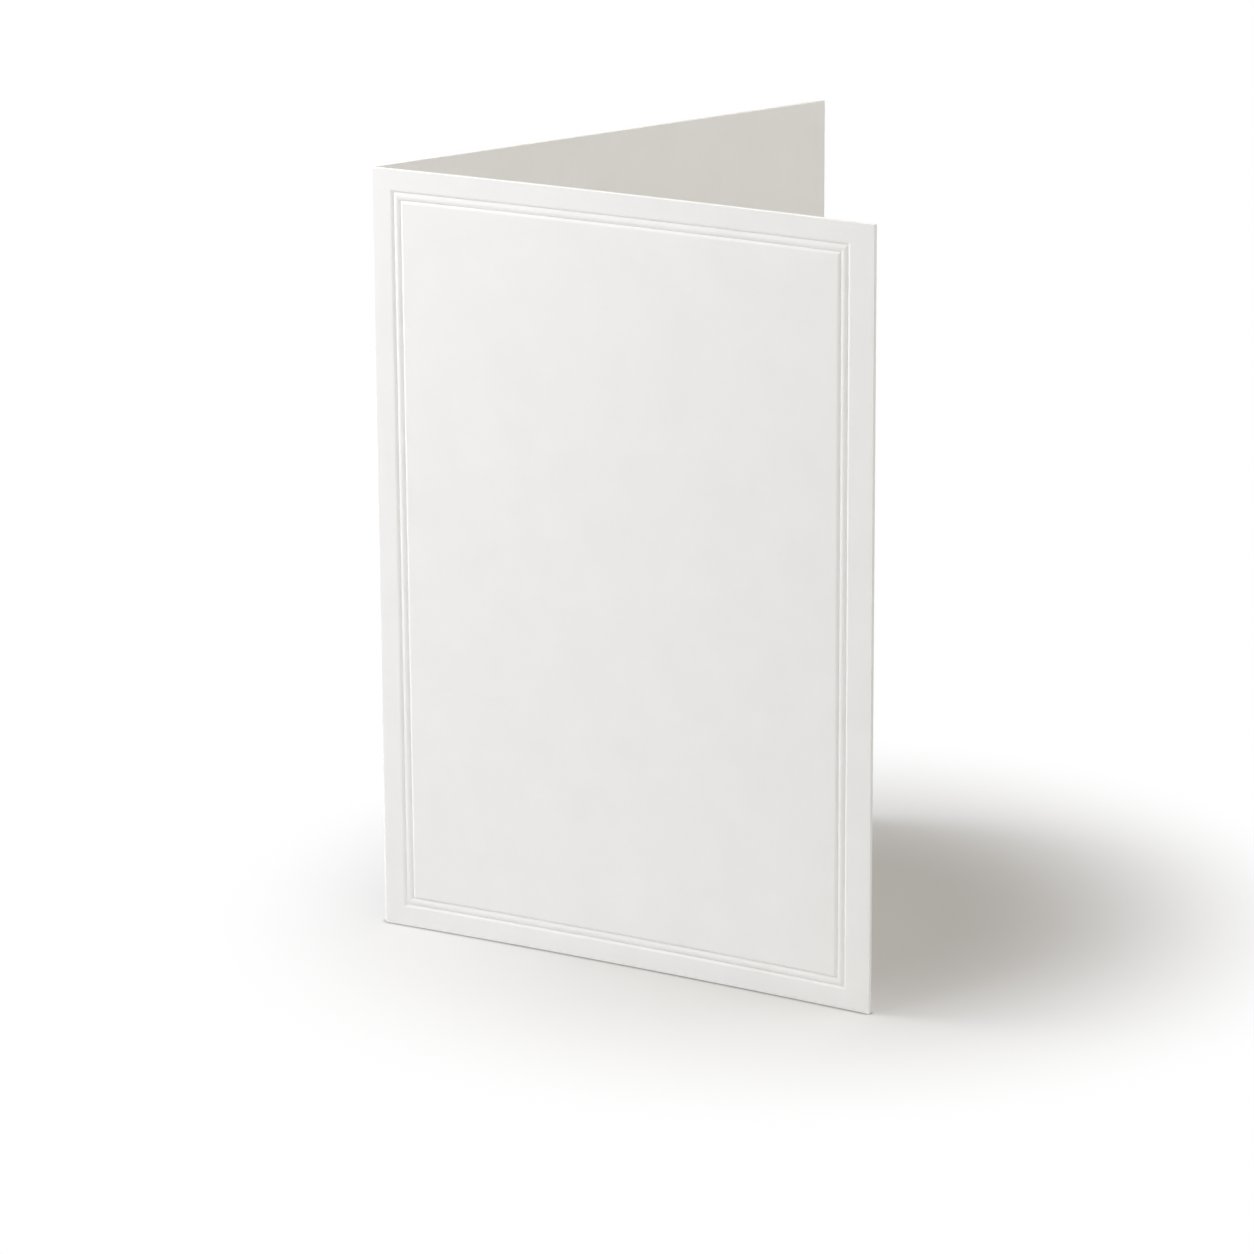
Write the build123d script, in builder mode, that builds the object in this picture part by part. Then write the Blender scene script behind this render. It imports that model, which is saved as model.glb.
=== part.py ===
from build123d import *
import os
from math import cos, radians, sin, tan

os.makedirs("parts", exist_ok=True)

# Sheet: heavy cotton board, folded once to A5 and stood up with its panels apart
card_height = 210.0
closed_width = 148.0
board_thickness = 1.2
edge_radius = 0.15

# Fold: upright, at the left of the front panel
opening_angle = 64.0
fold_radius = 1.0
crease_radius = 0.3

# Bow: the front panel's two flat margins lean this far, so that its middle sags towards the back panel
bow_angle = 2.0

# Border: two lines pressed into the front panel, with a rounded crown between them
border_side_inset = 7.7
border_end_inset = 6.1
line_pitch = 2.1
line_depth = 0.5
shoulder_width = 0.75
shoulder_radius = 1.1
crown_depth = 0.05

# The die's arms stand proud of the face that they press, and run on past their mitres
die_overrun = 0.3

half_opening = opening_angle / 2
up = Axis.Z.direction

# Closed, the card is as wide as a panel and the board at its fold. Open, each outer face runs on
# past the crease, to the sharp corner that the fold's round takes off.
fold_half_angle = radians(opening_angle - bow_angle) / 2
outer_width = closed_width - board_thickness + board_thickness / tan(fold_half_angle)

# The origin lies under the middle of the card's box, between the fold and the free edges
fold_reach = fold_radius / sin(fold_half_angle) - fold_radius
free_lean = radians(half_opening + bow_angle)
free_reach = outer_width * cos(radians(half_opening)) + board_thickness * sin(free_lean)
fold_corner = (-(fold_reach + free_reach) / 2, 0)

# The border lies on flat board, and the bow starts inside it
flat_margin = border_side_inset + line_pitch + 2 * shoulder_width

with BuildPart() as sheet:
    with BuildSketch(Plane.XY) as plan:
        with BuildLine():
            front_chord = PolarLine(fold_corner, outer_width, -half_opening, mode=Mode.PRIVATE)
            lean_length = outer_width / 2 / cos(radians(bow_angle))
            lean = PolarLine(fold_corner, lean_length, bow_angle - half_opening, mode=Mode.PRIVATE)
            bow_radius = (lean_length - flat_margin) / tan(radians(bow_angle))
            front = FilletPolyline(fold_corner, lean @ 1, front_chord @ 1, radius=bow_radius)
            PolarLine(fold_corner, outer_width, half_opening)
            offset(amount=board_thickness, side=Side.LEFT, kind=Kind.INTERSECTION)
        make_face()
        fillet(plan.vertices().sort_by(Axis.X)[1], crease_radius)
        fillet(plan.vertices().sort_by(Axis.X)[0], fold_radius)
    extrude(amount=card_height)
    trimmed_ends = sheet.faces().filter_by(Axis.Z).edges()
    trimmed_sides = sheet.edges().filter_by(Axis.Z).sort_by(Axis.X)[-4:]
    fillet(trimmed_ends + trimmed_sides, edge_radius)

# Section of the border: x runs from the panel's edge towards its middle, y into the board
with BuildSketch() as pressed_lines:
    with BuildLine():
        outer_lip = (-shoulder_width, 0)
        outer_root = (0, line_depth)
        crown = (line_pitch / 2, crown_depth)
        inner_root = (line_pitch, line_depth)
        inner_lip = (line_pitch + shoulder_width, 0)
        RadiusArc(outer_lip, outer_root, -shoulder_radius)
        ThreePointArc(outer_root, crown, inner_root)
        RadiusArc(inner_root, inner_lip, -shoulder_radius)
        Polyline(inner_lip, (inner_lip[0], -die_overrun), (outer_lip[0], -die_overrun), outer_lip)
    make_face()


def section_plane(root, inward, along_face):
    """Plane across the border at a point of its outer line."""
    into_board = up.cross(along_face)
    return Plane(origin=root, x_dir=inward, z_dir=inward.cross(into_board))


def side_arm(foot_share, turn):
    """Die for one side of the border, from mid-height down to its mitre, and the mitre's plane."""
    foot = front @ foot_share
    along_face = front % foot_share
    inward = along_face * turn
    mitre = Plane(origin=foot + up * border_end_inset, z_dir=up - inward)
    with BuildPart() as arm:
        with BuildSketch(section_plane(foot + up * (card_height / 2), inward, along_face)):
            add(pressed_lines.sketch)
        extrude(amount=card_height / 2, dir=-up)
        split(bisect_by=mitre, keep=Keep.TOP)
    return arm.part, mitre


def end_arm(mitres):
    """Die for the border's lower end, swept along the bowed face between its two mitres."""
    tail_share = (border_side_inset - shoulder_width - die_overrun) / front.length
    path = front.trim(tail_share, 1 - tail_share).moved(Location(up * border_end_inset))
    with BuildPart() as arm:
        with BuildSketch(section_plane(path @ 0, up, path % 0)):
            add(pressed_lines.sketch)
        sweep(path=path)
        for mitre in mitres:
            split(bisect_by=mitre, keep=Keep.BOTTOM)
    return arm.part


side_share = border_side_inset / front.length
fold_side, fold_mitre = side_arm(side_share, 1)
free_side, free_mitre = side_arm(1 - side_share, -1)

with BuildPart() as die:
    add([fold_side, free_side, end_arm([fold_mitre, free_mitre])])
    mirror(about=Plane.XY.offset(card_height / 2))

with BuildPart() as menu_card:
    add(sheet.part)
    add(die.part, mode=Mode.SUBTRACT)

menu_card.part.label = "menu_card"
export_step(menu_card.part, "parts/menu_card.step")
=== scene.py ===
from collections import namedtuple
from math import asin, atan2, cos, pi, radians, sin, sqrt, tan

import bmesh
import bpy
from mathutils import Matrix, Vector


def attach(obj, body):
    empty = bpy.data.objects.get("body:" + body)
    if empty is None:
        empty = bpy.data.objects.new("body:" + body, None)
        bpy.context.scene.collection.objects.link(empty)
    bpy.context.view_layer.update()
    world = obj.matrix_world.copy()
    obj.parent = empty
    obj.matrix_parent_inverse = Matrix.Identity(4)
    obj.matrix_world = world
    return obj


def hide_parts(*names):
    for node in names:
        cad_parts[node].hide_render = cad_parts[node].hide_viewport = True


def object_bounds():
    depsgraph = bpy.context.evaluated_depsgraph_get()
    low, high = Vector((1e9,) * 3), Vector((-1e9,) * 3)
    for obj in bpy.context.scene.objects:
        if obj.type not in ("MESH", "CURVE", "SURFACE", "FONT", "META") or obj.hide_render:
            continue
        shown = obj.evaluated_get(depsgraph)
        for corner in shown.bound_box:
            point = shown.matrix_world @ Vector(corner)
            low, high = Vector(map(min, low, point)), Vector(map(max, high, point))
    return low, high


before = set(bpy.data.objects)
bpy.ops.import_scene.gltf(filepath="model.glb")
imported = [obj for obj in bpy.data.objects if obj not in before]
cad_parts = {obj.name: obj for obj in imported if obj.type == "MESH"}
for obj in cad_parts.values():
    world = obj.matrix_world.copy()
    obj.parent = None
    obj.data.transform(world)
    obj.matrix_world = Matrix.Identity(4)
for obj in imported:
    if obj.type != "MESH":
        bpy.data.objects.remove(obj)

cad_low, cad_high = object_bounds()
MM = 0.001

# Sheet: folded once and stood up with its panels apart
CARD_HEIGHT = cad_high.z - cad_low.z
CLOSED_WIDTH = 148 * MM
THICKNESS = 1.2 * MM
EDGE_RADIUS = 0.15 * MM
HALF_OPENING = radians(32)
FOLD_RADIUS = 1.0 * MM
CREASE_RADIUS = 0.3 * MM
BOW = radians(2)

# Border: two lines pressed into the front panel, with a rounded crown between them
SIDE_INSET = 7.7 * MM
END_INSET = 6.1 * MM
LINE_PITCH = 2.1 * MM
LINE_DEPTH = 0.5 * MM
SHOULDER_WIDTH = 0.75 * MM
SHOULDER_RADIUS = 1.1 * MM
CROWN_DEPTH = 0.05 * MM

# Plan: the fold's sharp outer corner, and the front panel's bow between two flat margins
FOLD_HALF_ANGLE = HALF_OPENING - BOW / 2
FACE_WIDTH = CLOSED_WIDTH - THICKNESS + THICKNESS / tan(FOLD_HALF_ANGLE)
FLAT_MARGIN = SIDE_INSET + LINE_PITCH + 2 * SHOULDER_WIDTH
BOW_RADIUS = (FACE_WIDTH / 2 / cos(BOW) - FLAT_MARGIN) / tan(BOW)
BOW_LENGTH = 2 * BOW * BOW_RADIUS
FRONT_LENGTH = 2 * FLAT_MARGIN + BOW_LENGTH
FOLD_CORNER = Vector((cad_low.x + FOLD_RADIUS - FOLD_RADIUS / sin(FOLD_HALF_ANGLE), 0, 0))
CREASE_RUN = (THICKNESS + CREASE_RADIUS) / tan(FOLD_HALF_ANGLE)

# Steps of the card's mesh, and the narrow strips that keep its flats flat beside a curve
ROUND_STEPS = 4
FOLD_STEPS = 10
SHOULDER_STEPS = 8
CROWN_STEPS = 14
PANEL_STEP = 6 * MM
SUPPORT = 0.08 * MM
SHARP_ANGLE = radians(25)

# Points of the mesh that lie closer together than this are the same point
SAME_POINT = EDGE_RADIUS / 1000

# Board: its two tints, its roughness and gloss, and the size and the rise of its grains
PALE_TINT = (0.875, 0.868, 0.852, 1)
LIGHT_TINT = (0.925, 0.918, 0.904, 1)
ROUGHNESS = 0.85
GLOSS = 0.25
MOTTLE_SIZE = 14 * MM
SWELL_SIZE = 9 * MM
SWELL_RISE = 0.03 * MM
TOOTH_SIZE = 1.5 * MM
TOOTH_RISE = 0.045 * MM
FIBRE_SIZE = 0.35 * MM
FIBRE_STRETCH = (1, 1, 5)
FIBRE_RISE = 0.008 * MM

# Light: cool daylight from the left and warmer light from the room. Each softbox has its place, the
# length of its sides in metres, its power in watts and its colour.
WHITE = (1, 1, 1)
COOL = (0.973, 0.985, 1.01)
WARM = (1, 0.967, 0.92)
SOFTBOXES = (
    ("window", (-1.195, 0.435, 0.895), 0.6, 4.1, COOL),
    ("key", (-0.42, 0.105, 0.35), 0.3, 1.74, COOL),
    ("left_high", (-0.306, -0.177, 0.454), 0.3, 0.5, COOL),
    ("left_low", (-0.36, -0.302, 0.271), 0.3, 0.26, COOL),
    ("fill", (0.252, -0.693, 0.616), 0.6, 1.96, WARM),
    ("right", (0.423, -0.154, 0.879), 0.6, 3.6, WARM),
)
SKY_STRENGTH = 0.1

# Camera: its place and lens, and how far it is turned aside, tilted down and rolled
CAMERA_PLACE = (-0.0597, -1.3766, 0.5026)
SENSOR_WIDTH = 36
LENS = 153.6
CAMERA_TURN = radians(-2.63)
CAMERA_TILT = radians(16.95)
CAMERA_ROLL = radians(-0.38)

# Floor: its size in metres, its colours for the light that it throws back and for the view, and the
# distances from the middle of the card's shadow between which it goes over into plain white
FLOOR_SIZE = 3.0
FLOOR_COLOUR = (0.8, 0.8, 0.8, 1)
FLOOR_SEEN = (0.647, 0.635, 0.622)
SHADOW_PLACE = (0.045, 0, 0)
FADE_START = 0.045
FADE_END = 0.16

# Painted shade: near the card's foot the floor is darker, from the share of its light that the card
# blocks
FOOT_REACH = 2 * MM
FOOT_DEEPEST = 0.45
PAINTED_FOOT_SHADE = 0.4

# A place along the folded sheet: the same point on its outer and inner face, each with its outward
# normal, how far it lies from the fold when the sheet is flat, and its distance across the border
Station = namedtuple("Station", "outer outer_normal inner inner_normal flat across")
Row = namedtuple("Row", "z inset across")
NO_BORDER = -CLOSED_WIDTH


def heading(angle):
    """Unit vector in plan, at that angle from +X."""
    return Vector((cos(angle), sin(angle), 0))


def left_of(angle):
    """Unit vector in plan, to the left of that heading."""
    return Vector((-sin(angle), cos(angle), 0))


def spread(start, end, steps):
    """Evenly spaced values from start to end, both included."""
    return [start + (end - start) * i / steps for i in range(steps + 1)]


def front_face(run):
    """Point of the front panel's outer face at that run from the fold's corner, and its normal."""
    start = BOW - HALF_OPENING
    turn = min(max(run - FLAT_MARGIN, 0), BOW_LENGTH) / BOW_RADIUS
    point = FOLD_CORNER + heading(start) * min(run, FLAT_MARGIN)
    point += (left_of(start - turn) - left_of(start)) * BOW_RADIUS
    point += heading(start - turn) * max(run - FLAT_MARGIN - BOW_LENGTH, 0)
    return point, -left_of(start - turn)


def back_face(run):
    """Point of the back panel's outer face at that run from the fold's corner, and its normal."""
    return FOLD_CORNER + heading(HALF_OPENING) * run, left_of(HALF_OPENING)


def border_offsets():
    """Distances across the border from its outer line, close together where its section curves."""
    shoulder = spread(-SHOULDER_WIDTH, 0, SHOULDER_STEPS)
    crown = spread(0, LINE_PITCH, CROWN_STEPS)
    half = [-SHOULDER_WIDTH - SUPPORT] + shoulder
    return half + crown[1:-1] + [LINE_PITCH - offset for offset in reversed(half)]


def pressed_depth(across):
    """Depth of the pressed section at a distance across the border from its outer line."""
    if 0 < across < LINE_PITCH:
        drop = LINE_DEPTH - CROWN_DEPTH
        radius = ((LINE_PITCH / 2) ** 2 + drop ** 2) / (2 * drop)
        return CROWN_DEPTH + radius - sqrt(radius ** 2 - (across - LINE_PITCH / 2) ** 2)
    past_lip = SHOULDER_WIDTH - max(-across, across - LINE_PITCH)
    if past_lip <= 0:
        return 0
    chord = sqrt(SHOULDER_WIDTH ** 2 + LINE_DEPTH ** 2)
    lip_slope = atan2(LINE_DEPTH, SHOULDER_WIDTH) - asin(chord / 2 / SHOULDER_RADIUS)
    reach = past_lip + SHOULDER_RADIUS * sin(lip_slope)
    return SHOULDER_RADIUS * cos(lip_slope) - sqrt(SHOULDER_RADIUS ** 2 - reach ** 2)


def panel_stations(face, length, runs, turn):
    """Stations of one panel, from the crease to its free edge.

    turn is -1 for the front panel and 1 for the back panel.
    """
    stations = []
    for run in runs + [length - EDGE_RADIUS - SUPPORT]:
        point, normal = face(run)
        across = min(run, length - run) - SIDE_INSET if turn < 0 else NO_BORDER
        inner = point - normal * THICKNESS
        stations.append(Station(point, normal, inner, -normal, turn * run, across))
    point, normal = face(length - EDGE_RADIUS)
    along = (face(length)[0] - point).normalized()
    outer_centre = point - normal * EDGE_RADIUS
    inner_centre = point - normal * (THICKNESS - EDGE_RADIUS)
    for angle in spread(0, pi / 2, ROUND_STEPS):
        outward = normal * cos(angle) + along * sin(angle)
        inward = along * sin(angle) - normal * cos(angle)
        flat = turn * (length - EDGE_RADIUS + EDGE_RADIUS * sin(angle))
        stations.append(Station(outer_centre + outward * EDGE_RADIUS, outward,
                                inner_centre + inward * EDGE_RADIUS, inward, flat, NO_BORDER))
    return stations


def fold_stations():
    """Stations round the fold: its rounded nose outside, and its crease inside."""
    bisector = heading(BOW / 2)
    nose = FOLD_CORNER + bisector * (FOLD_RADIUS / sin(FOLD_HALF_ANGLE))
    crease = FOLD_CORNER + bisector * ((THICKNESS + CREASE_RADIUS) / sin(FOLD_HALF_ANGLE))
    front_normal = -left_of(BOW - HALF_OPENING)
    sweep = 2 * FOLD_HALF_ANGLE - pi
    stations = []
    for share in spread(0, 1, FOLD_STEPS):
        inner_share = (1 + share * FOLD_STEPS) / (FOLD_STEPS + 2)
        outward = Matrix.Rotation(sweep * share, 3, "Z") @ front_normal
        inward = Matrix.Rotation(sweep * inner_share, 3, "Z") @ front_normal
        flat = CREASE_RUN * (2 * inner_share - 1)
        stations.append(Station(nose + outward * FOLD_RADIUS, outward,
                                crease + inward * CREASE_RADIUS, -inward, flat, NO_BORDER))
    return stations


def sheet_stations():
    """Stations along the whole sheet, from the front panel's free edge to the back panel's."""
    border = [SIDE_INSET + offset for offset in border_offsets()]
    middle_steps = round((FRONT_LENGTH - 2 * border[-1]) / PANEL_STEP)
    front_runs = [CREASE_RUN, CREASE_RUN + SUPPORT] + border
    front_runs += spread(border[-1], FRONT_LENGTH - border[-1], middle_steps)[1:-1]
    front_runs += [FRONT_LENGTH - run for run in reversed(border)]
    back_runs = [CREASE_RUN]
    back_runs += spread(CREASE_RUN + SUPPORT, FACE_WIDTH - PANEL_STEP, middle_steps // 2)
    front = panel_stations(front_face, FRONT_LENGTH, front_runs, -1)
    back = panel_stations(back_face, FACE_WIDTH, back_runs, 1)
    return front[::-1] + fold_stations() + back


def sheet_rows():
    """Heights of the mesh's rows, with the inset that the rounded trims give them."""
    low = []
    for angle in spread(pi / 2, 0, ROUND_STEPS):
        low.append(Row(EDGE_RADIUS * (1 - sin(angle)), EDGE_RADIUS * (1 - cos(angle)), NO_BORDER))
    low.append(Row(EDGE_RADIUS + SUPPORT, 0, NO_BORDER))
    low += [Row(END_INSET + offset, 0, offset) for offset in border_offsets()]
    top_of_low = low[-1].z
    steps = round((CARD_HEIGHT - 2 * top_of_low) / PANEL_STEP)
    middle = spread(top_of_low, CARD_HEIGHT - top_of_low, steps)[1:-1]
    high = [row._replace(z=CARD_HEIGHT - row.z) for row in reversed(low)]
    return low + [Row(z, 0, min(z, CARD_HEIGHT - z) - END_INSET) for z in middle] + high


def add_cells(made, rows, stations, grid):
    """Faces between neighbouring points of the grid, split in two along the border's mitres."""
    count = len(grid[0])
    for r in range(len(rows) - 1):
        for i in range(count):
            j = (i + 1) % count
            cell = [grid[r][i], grid[r][j], grid[r + 1][j], grid[r + 1][i]]
            if i + 1 < len(stations):
                sides = (stations[i].across, stations[j].across)
                ends = (rows[r].across, rows[r + 1].across)
                if abs(sides[0] - ends[0]) < SAME_POINT and abs(sides[1] - ends[1]) < SAME_POINT:
                    made.faces.new((cell[0], cell[1], cell[2]))
                    made.faces.new((cell[0], cell[2], cell[3]))
                    continue
                if abs(sides[1] - ends[0]) < SAME_POINT and abs(sides[0] - ends[1]) < SAME_POINT:
                    made.faces.new((cell[0], cell[1], cell[3]))
                    made.faces.new((cell[1], cell[2], cell[3]))
                    continue
            made.faces.new(cell)


def build_card():
    """The folded sheet as one closed mesh, with its place on the flat sheet kept at each vertex."""
    stations = sheet_stations()
    rows = sheet_rows()
    made = bmesh.new()
    place = made.verts.layers.float_vector.new("sheet_place")
    grid = []
    for row in rows:
        ring = []
        for s in stations:
            sink = row.inset + pressed_depth(min(s.across, row.across))
            vertex = made.verts.new(s.outer - s.outer_normal * sink + Vector((0, 0, row.z)))
            vertex[place] = Vector((s.flat, 0, row.z))
            ring.append(vertex)
        for s in reversed(stations):
            vertex = made.verts.new(s.inner - s.inner_normal * row.inset + Vector((0, 0, row.z)))
            vertex[place] = Vector((s.flat, THICKNESS, row.z))
            ring.append(vertex)
        grid.append(ring)
    add_cells(made, rows, stations, grid)
    for ring in (grid[0], grid[-1]):
        for i in range(len(stations) - 1):
            made.faces.new((ring[i], ring[i + 1], ring[-i - 2], ring[-i - 1]))
    bmesh.ops.remove_doubles(made, verts=made.verts, dist=SAME_POINT)
    bmesh.ops.recalc_face_normals(made, faces=made.faces)
    mesh = bpy.data.meshes.new("folded_card")
    made.to_mesh(mesh)
    made.free()
    mesh.shade_smooth()
    mesh.set_sharp_from_angle(angle=SHARP_ANGLE)
    card = bpy.data.objects.new("folded_card", mesh)
    bpy.context.scene.collection.objects.link(card)
    return card


def new_material(name):
    """An empty node material, its node tree's nodes and a function that joins two sockets."""
    material = bpy.data.materials.new(name)
    material.use_nodes = True
    nodes = material.node_tree.nodes
    nodes.clear()
    return material, nodes, material.node_tree.links.new


def noise(nodes, link, vector, size, detail, stretch=(1, 1, 1)):
    """Noise with grains of about that size, longer along an axis where stretch is larger."""
    mapping = nodes.new("ShaderNodeMapping")
    mapping.inputs["Scale"].default_value = [1 / (size * share) for share in stretch]
    texture = nodes.new("ShaderNodeTexNoise")
    texture.inputs["Scale"].default_value = 1
    texture.inputs["Detail"].default_value = detail
    link(vector, mapping.inputs["Vector"])
    link(mapping.outputs["Vector"], texture.inputs["Vector"])
    return texture.outputs["Fac"]


def cotton_board():
    """Uncoated white cotton board: matt, with faint mottling, short fibres and a fine tooth."""
    material, nodes, link = new_material("cotton_board")
    output = nodes.new("ShaderNodeOutputMaterial")
    shader = nodes.new("ShaderNodeBsdfPrincipled")
    link(shader.outputs["BSDF"], output.inputs["Surface"])
    shader.inputs["Roughness"].default_value = ROUGHNESS
    shader.inputs["Specular IOR Level"].default_value = GLOSS
    place = nodes.new("ShaderNodeAttribute")
    place.attribute_name = "sheet_place"
    vector = place.outputs["Vector"]

    mottle = noise(nodes, link, vector, MOTTLE_SIZE, detail=3)
    tint = nodes.new("ShaderNodeMix")
    tint.data_type = "RGBA"
    tint.inputs["A"].default_value = PALE_TINT
    tint.inputs["B"].default_value = LIGHT_TINT
    link(mottle, tint.inputs["Factor"])
    link(tint.outputs["Result"], shader.inputs["Base Color"])

    tooth = noise(nodes, link, vector, TOOTH_SIZE, detail=4)
    fibres = noise(nodes, link, vector, FIBRE_SIZE, detail=2, stretch=FIBRE_STRETCH)
    swell = noise(nodes, link, vector, SWELL_SIZE, detail=1)
    normal = None
    for height, rise in ((swell, SWELL_RISE), (fibres, FIBRE_RISE), (tooth, TOOTH_RISE)):
        bump = nodes.new("ShaderNodeBump")
        bump.inputs["Distance"].default_value = rise
        link(height, bump.inputs["Height"])
        if normal:
            link(normal, bump.inputs["Normal"])
        normal = bump.outputs["Normal"]
    link(normal, shader.inputs["Normal"])
    return material


def looked_at(nodes, link):
    """One where a camera, glossy or transmission ray meets the surface, and otherwise nothing."""
    path = nodes.new("ShaderNodeLightPath")
    total = path.outputs["Is Camera Ray"]
    for name in ("Is Glossy Ray", "Is Transmission Ray"):
        total = combine(nodes, link, "ADD", total, path.outputs[name])
    return total


def combine(nodes, link, operation, first, second):
    """Sum or product of two sockets."""
    both = nodes.new("ShaderNodeMath")
    both.operation = operation
    link(first, both.inputs[0])
    link(second, both.inputs[1])
    return both.outputs["Value"]


def ramp(nodes, link, value, start, end, low, high):
    """Value that goes smoothly from low to high while another goes from start to end."""
    fade = nodes.new("ShaderNodeMapRange")
    fade.interpolation_type = "SMOOTHSTEP"
    for name, number in (("From Min", start), ("From Max", end), ("To Min", low), ("To Max", high)):
        fade.inputs[name].default_value = number
    link(value, fade.inputs["Value"])
    return fade.outputs["Result"]


def white_floor():
    """Pale floor with painted shade close to the card's foot, that turns plain white away from its
    shadow.
    """
    material, nodes, link = new_material("white_floor")
    output = nodes.new("ShaderNodeOutputMaterial")
    seen = looked_at(nodes, link)
    # Painted shade: ambient occlusion darkens the floor's seen colour and its white close to the
    # card's foot
    foot = nodes.new("ShaderNodeAmbientOcclusion")
    foot.inputs["Distance"].default_value = FOOT_REACH
    painted_shade_share = ramp(nodes, link, foot.outputs["AO"], FOOT_DEEPEST, 1, PAINTED_FOOT_SHADE, 1)
    tone = nodes.new("ShaderNodeMix")
    tone.data_type = "RGBA"
    tone.inputs["A"].default_value = FLOOR_COLOUR
    link(seen, tone.inputs["Factor"])
    shaded = nodes.new("ShaderNodeVectorMath")
    shaded.operation = "SCALE"
    shaded.inputs[0].default_value = FLOOR_SEEN
    link(painted_shade_share, shaded.inputs["Scale"])
    link(shaded.outputs["Vector"], tone.inputs["B"])
    diffuse = nodes.new("ShaderNodeBsdfDiffuse")
    link(tone.outputs["Result"], diffuse.inputs["Color"])

    white = nodes.new("ShaderNodeEmission")
    link(painted_shade_share, white.inputs["Strength"])
    place = nodes.new("ShaderNodeNewGeometry")
    away = nodes.new("ShaderNodeVectorMath")
    away.operation = "DISTANCE"
    link(place.outputs["Position"], away.inputs[0])
    away.inputs[1].default_value = SHADOW_PLACE
    fade = ramp(nodes, link, away.outputs["Value"], FADE_START, FADE_END, 0, 1)
    mix = nodes.new("ShaderNodeMixShader")
    link(combine(nodes, link, "MULTIPLY", fade, seen), mix.inputs["Fac"])
    link(diffuse.outputs["BSDF"], mix.inputs[1])
    link(white.outputs["Emission"], mix.inputs[2])
    link(mix.outputs["Shader"], output.inputs["Surface"])
    return material


def add_floor(material):
    """Flat floor at the card's foot."""
    bpy.ops.mesh.primitive_plane_add(size=FLOOR_SIZE, location=(0, 0, cad_low.z))
    floor = bpy.context.object
    floor.name = "floor"
    floor.data.materials.append(material)


def add_softbox(name, place, size, power, colour):
    """Square area lamp at a place, turned to the middle of the card."""
    lamp = bpy.data.lights.new(name, "AREA")
    lamp.size = size
    lamp.energy = power
    lamp.color = colour
    box = bpy.data.objects.new(name, lamp)
    box.location = place
    box.rotation_mode = "QUATERNION"
    aim = Vector((0, 0, CARD_HEIGHT / 2)) - Vector(place)
    box.rotation_quaternion = aim.to_track_quat("-Z", "Y")
    bpy.context.scene.collection.objects.link(box)


def set_world(strength, colour):
    """Even light from all round, looked at as plain white."""
    world = bpy.data.worlds.new("studio")
    bpy.context.scene.world = world
    world.use_nodes = True
    nodes, link = world.node_tree.nodes, world.node_tree.links.new
    nodes.clear()
    output = nodes.new("ShaderNodeOutputWorld")
    lighting = nodes.new("ShaderNodeBackground")
    backdrop = nodes.new("ShaderNodeBackground")
    for background, power, tone in ((lighting, strength, colour), (backdrop, 1, WHITE)):
        background.inputs["Strength"].default_value = power
        background.inputs["Color"].default_value = (*tone, 1)
    mix = nodes.new("ShaderNodeMixShader")
    link(looked_at(nodes, link), mix.inputs["Fac"])
    link(lighting.outputs["Background"], mix.inputs[1])
    link(backdrop.outputs["Background"], mix.inputs[2])
    link(mix.outputs["Shader"], output.inputs["Surface"])


def add_camera():
    """Camera at the photograph's place and angle."""
    camera = bpy.data.cameras.new("camera")
    camera.sensor_width = SENSOR_WIDTH
    camera.lens = LENS
    eye = bpy.data.objects.new("camera", camera)
    turn = Matrix.Rotation(CAMERA_TURN, 4, "Z")
    tilt = Matrix.Rotation(pi / 2 - CAMERA_TILT, 4, "X")
    roll = Matrix.Rotation(CAMERA_ROLL, 4, "Z")
    eye.matrix_world = Matrix.Translation(CAMERA_PLACE) @ turn @ tilt @ roll
    bpy.context.scene.collection.objects.link(eye)
    bpy.context.scene.camera = eye


card = build_card()
card.data.materials.append(cotton_board())
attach(card, "root")
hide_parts("menu_card")

add_floor(white_floor())
for softbox in SOFTBOXES:
    add_softbox(*softbox)
set_world(SKY_STRENGTH, WARM)
add_camera()
bpy.context.scene.view_settings.view_transform = "Standard"
